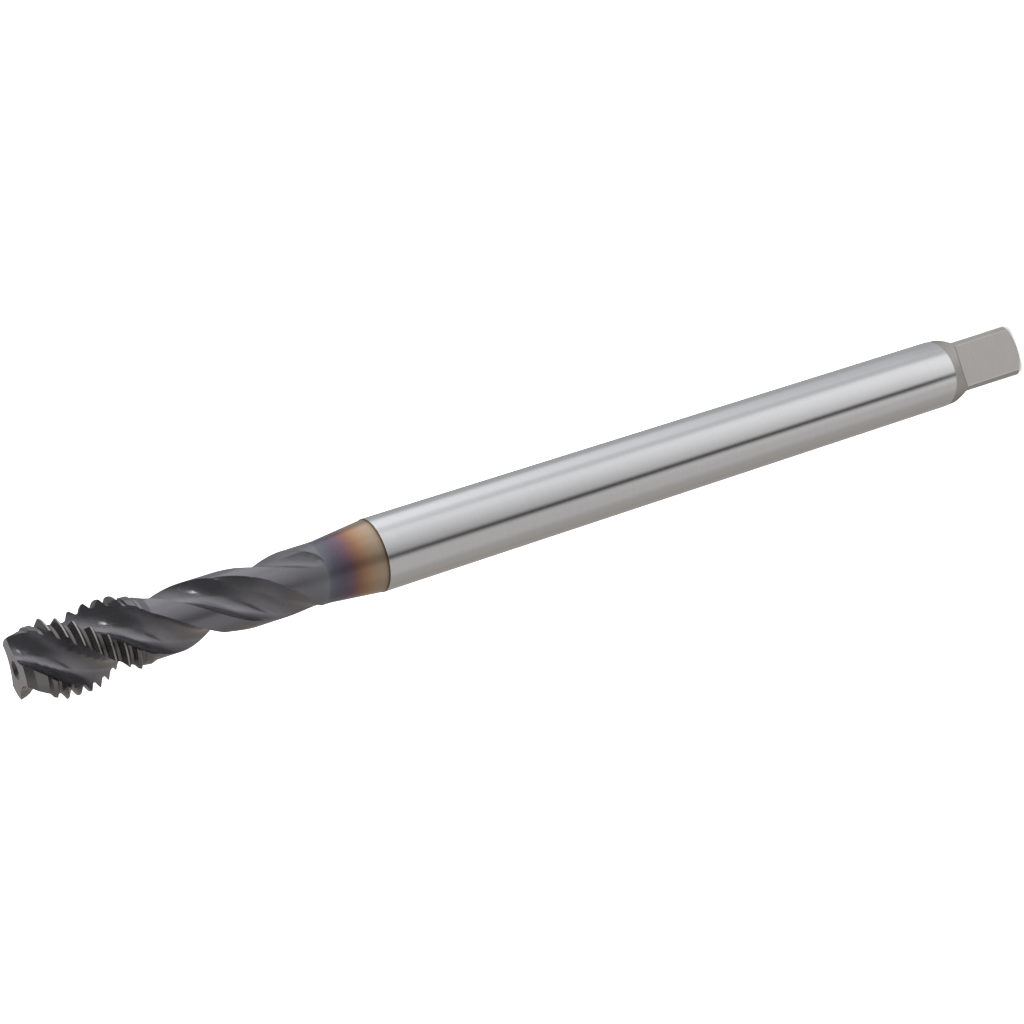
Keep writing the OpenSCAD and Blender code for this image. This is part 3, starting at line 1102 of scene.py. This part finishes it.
class TAP_OT_make_tap(bpy.types.Operator):
    """Builds the whole tap: the fluted and threaded head, joined to the ground shank and its square"""

    bl_idname = "tap.make_tap"
    bl_label = "Make the tap"

    def execute(self, context):
        scene = context.scene
        finish = scene.tap_finish
        blank = scene.tap_blank
        groups = Groups()
        coated = make_coating("coated_flutes", scene, groups, finish.coating)
        thread = make_coating("coated_thread", scene, groups, finish.thread_coating, worn=True)
        tip = make_coating("coated_tip", scene, groups, shade(finish.coating, TIP_TONE))
        hole = make_coating("coated_hole", scene, groups, shade(finish.coating, HOLE_TONE))
        mesh = make_head_mesh(scene, (coated, thread, tip, hole))
        zones = {"coated": 0}
        edge = blank.corner_radius, blank.square_length
        for zone, material in (
            ("ground", make_ground_steel(finish, groups)),
            ("milled", make_cut_steel("milled_steel", finish, groups, finish.milled, *edge)),
            ("turned", make_cut_steel("turned_steel", finish, groups, finish.turned, None, None)),
        ):
            zones[zone] = len(mesh.materials)
            mesh.materials.append(material)
        if list(mesh.materials)[0] != coated:
            raise RuntimeError("the head's first material isn't the coating")
        join_blank(mesh, blank, scene_sizes(scene), zones)
        mesh.name = "spiral_flute_tap"
        piece = bpy.data.objects.new("spiral_flute_tap", mesh)
        scene.collection.objects.link(piece)
        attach(piece, "root")
        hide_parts("tap")
        return {"FINISHED"}


# The studio as the steel reflects it, in soft panels: centre, half width and softness round the tap, the
# same up and down, brightness and warmth. Degrees are counted round from the camera's side, and up from
# the horizon.
# Another program fitted the room light and the panels to the photo's reflections, and they were then
# rounded. The grey wall was changed after that. The wall behind, the small lamp and every warmth were set
# one by one.
ROOM_LIGHT = 0.136
WARM_RED = 0.05
WARM_BLUE = 0.06
PANELS = (
    ("pale floor", (0, 181, 10), (-49, 2, 8), 0.32, 0.0),
    ("floor straight below", (0, 181, 10), (-71, 15, 19), 0.18, 0.0),
    ("grey wall on the right", (54, 42, 60), (-30, 31, 42), 0.48, 0.4),
    ("upper part of that wall", (65, 25, 38), (41, 39, 30), 0.17, 0.7),
    ("long soft light on the left", (-80, 39, 47), (-4, 30, 41), 0.46, -0.4),
    ("bright strip on the left", (-91, 26, 17), (-18, 9, 29), 0.52, -0.4),
    ("soft light behind on the left", (-120, 42, 34), (-7, 60, 10), 0.36, -0.4),
    ("sheet in front", (-33, 34, 55), (-29, 23, 4), 0.68, -0.1),
    ("edge of the sheet", (-20, 61, 35), (-45, 12, 19), 0.34, 0.0),
    ("wall behind", (140, 40, 40), (-22, 60, 20), 0.265, 2.0),
    ("small lamp", (-48, 1.5, 1.5), (10, 1.5, 1.5), 42.0, 0.6),
)
# Dark gaps between the panels, with their depth. The first and the last started from the same fit and were
# changed after it. The two ends of the first were set one by one.
GAPS = (
    ("gap beside the sheet", (21.3, 6.3, 12.5), (-33.5, 12.5, 4), 1.0),
    ("upper end of that gap", (14, 13, 22), (-14, 7.5, 6), 0.42),
    ("low end of that gap", (29, 5, 10), (-46, 10, 6), 0.25),
    ("gap in the soft light", (-70, 9, 8), (-35, 14, 5), 0.22),
)


AROUND_INPUTS = "Centre round", "Half width", "Softness round"
UP_INPUTS = "Centre up", "Half height", "Softness up"
PANEL_INPUTS = "Round", "Up", *AROUND_INPUTS, *UP_INPUTS


def make_soft_panel():
    """A shader group: a soft-edged panel of light, seen round and up from the tap."""
    tree, start, end = shader_group("Soft panel", (), PANEL_INPUTS, "Light")
    given = {name: Field(tree, start.outputs[name]) for name in PANEL_INPUTS}
    off_round = calculate("PINGPONG", given["Round"] - given["Centre round"], 180)
    off_up = calculate("ABSOLUTE", given["Up"] - given["Centre up"])
    inside = (
        (given["Half width"] - off_round) / given["Softness round"] + 0.5,
        (given["Half height"] - off_up) / given["Softness up"] + 0.5,
    )
    eased = []
    for value in inside:
        node = add_node(tree, "ShaderNodeMapRange", interpolation_type="SMOOTHSTEP")
        feed(tree, value, node.inputs["Value"])
        eased.append(Field(tree, node.outputs[0]))
    feed(tree, eased[0] * eased[1], end.inputs["Light"])
    return tree


def panel_light(tree, group, around, up, span, height):
    """One soft panel of the studio, from 0 to 1."""
    node = tree.nodes.new("ShaderNodeGroup")
    node.node_tree = group
    for name, value in zip(PANEL_INPUTS, (around, up, *span, *height)):
        feed(tree, value, node.inputs[name])
    return Field(tree, node.outputs["Light"])


def make_studio_light(scene, light):
    """An even white light, and for reflections soft panels of light round the tap."""
    world = bpy.data.worlds.new("studio")
    scene.world = world
    world.use_nodes = True
    tree = world.node_tree
    tree.nodes.clear()
    place = tree.nodes.new("ShaderNodeTexCoord")
    split = tree.nodes.new("ShaderNodeSeparateXYZ")
    link(tree, place.outputs["Generated"], split.inputs[0])
    x, y, z = (Field(tree, split.outputs[axis]) for axis in "XYZ")
    around = calculate("ARCTAN2", -x, -y) * math.degrees(1)
    up = calculate("ARCSINE", z) * math.degrees(1)
    group = make_soft_panel()
    red, green, blue = ROOM_LIGHT, ROOM_LIGHT, ROOM_LIGHT
    for _, span, height, bright, warmth in PANELS:
        shown = panel_light(tree, group, around, up, span, height)
        red = shown * (bright * (1 + WARM_RED * warmth)) + red
        green = shown * bright + green
        blue = shown * (bright * (1 - WARM_BLUE * warmth)) + blue
    left = 1
    for _, span, height, depth in GAPS:
        left = left * (1 - panel_light(tree, group, around, up, span, height) * depth)
    tint = tree.nodes.new("ShaderNodeCombineColor")
    for value, place in zip((red, green, blue), tint.inputs):
        feed(tree, value * left, place)
    path = tree.nodes.new("ShaderNodeLightPath")
    mirrored = tree.nodes.new("ShaderNodeBackground")
    link(tree, tint.outputs[0], mirrored.inputs["Color"])
    even = tree.nodes.new("ShaderNodeBackground")
    even.inputs["Strength"].default_value = light
    even.inputs["Color"].default_value = (1, 1, 1, 1)
    chosen = tree.nodes.new("ShaderNodeMixShader")
    link(tree, path.outputs["Is Glossy Ray"], chosen.inputs[0])
    link(tree, even.outputs[0], chosen.inputs[1])
    link(tree, mirrored.outputs[0], chosen.inputs[2])
    output = tree.nodes.new("ShaderNodeOutputWorld")
    link(tree, chosen.outputs[0], output.inputs["Surface"])
    world.cycles.sampling_method = "NONE"


# Width of the camera's sensor in millimetres, and its shift as a share of the picture's width
SENSOR_WIDTH = 36
CAMERA_SHIFT = 0.0004, -0.00126
# Nothing nearer to the camera than this shows
NEAREST = 10 * MM


class TAP_OT_make_studio(bpy.types.Operator):
    """Builds the pale floor, the soft light and the camera"""

    bl_idname = "tap.make_studio"
    bl_label = "Make the studio"

    def execute(self, context):
        scene = context.scene
        studio = scene.tap_studio
        half = studio.floor_size / 2
        mesh = bpy.data.meshes.new("floor")
        corners = [(-half, -half, 0), (half, -half, 0), (half, half, 0), (-half, half, 0)]
        mesh.from_pydata(corners, [], [(0, 1, 2, 3)])
        ground = bpy.data.objects.new("floor", mesh)
        scene.collection.objects.link(ground)
        material = bpy.data.materials.new("pale_floor")
        material.use_nodes = True
        shader = material.node_tree.nodes["Principled BSDF"]
        shader.inputs["Base Color"].default_value = (*studio.floor, 1)
        shader.inputs["Roughness"].default_value = 1
        shader.inputs["Specular IOR Level"].default_value = 0
        mesh.materials.append(material)
        # The steel reflects the studio light itself, so the floor doesn't show in it
        ground.visible_glossy = False
        make_studio_light(scene, studio.light)
        scene.view_settings.view_transform = "Standard"
        camera = bpy.data.objects.new("camera", bpy.data.cameras.new("camera"))
        scene.collection.objects.link(camera)
        camera.data.lens = studio.lens
        camera.data.sensor_width = SENSOR_WIDTH
        camera.data.clip_start = NEAREST
        camera.data.shift_x, camera.data.shift_y = CAMERA_SHIFT
        ahead = Vector((0, math.cos(studio.elevation), -math.sin(studio.elevation)))
        side = Vector((1, 0, 0))
        above = side.cross(ahead)
        right = side * math.cos(studio.roll) + above * math.sin(studio.roll)
        up = above * math.cos(studio.roll) - side * math.sin(studio.roll)
        turned = Matrix((right, up, -ahead)).transposed().to_4x4()
        spot = Vector((0, 0, studio.look_at)) - ahead * studio.distance
        camera.matrix_world = Matrix.Translation(spot) @ turned
        scene.camera = camera
        return {"FINISHED"}


class TAP_PT_panel(bpy.types.Panel):
    """Lists the pieces and their settings"""

    bl_idname = "TAP_PT_panel"
    bl_label = "Spiral flute tap"
    bl_space_type = "VIEW_3D"
    bl_region_type = "UI"
    bl_category = "Tap"

    def draw(self, context):
        for title, settings, operator in (
            ("Blank", context.scene.tap_blank, None),
            ("Cutting head", context.scene.tap_head, None),
            ("Finish", context.scene.tap_finish, TAP_OT_make_tap),
            ("Studio", context.scene.tap_studio, TAP_OT_make_studio),
        ):
            box = self.layout.box()
            box.label(text=title)
            for name in settings.bl_rna.properties.keys():
                if name not in ("rna_type", "name"):
                    box.prop(settings, name)
            if operator:
                box.operator(operator.bl_idname)


GROUPS = {
    "tap_blank": BlankSizes,
    "tap_head": HeadSizes,
    "tap_finish": FinishSettings,
    "tap_studio": StudioSettings,
}
CLASSES = (*GROUPS.values(), TAP_OT_make_tap, TAP_OT_make_studio, TAP_PT_panel)


def register():
    """Registers the add-on's classes and its settings."""
    for entry in CLASSES:
        bpy.utils.register_class(entry)
    for name, group in GROUPS.items():
        setattr(bpy.types.Scene, name, bpy.props.PointerProperty(type=group))


def unregister():
    """Takes the settings and the classes away again."""
    for name in GROUPS:
        delattr(bpy.types.Scene, name)
    for entry in reversed(CLASSES):
        bpy.utils.unregister_class(entry)


def main():
    """Builds everything."""
    register()
    bpy.ops.tap.make_studio()
    bpy.ops.tap.make_tap()


if __name__ == "__main__":
    main()
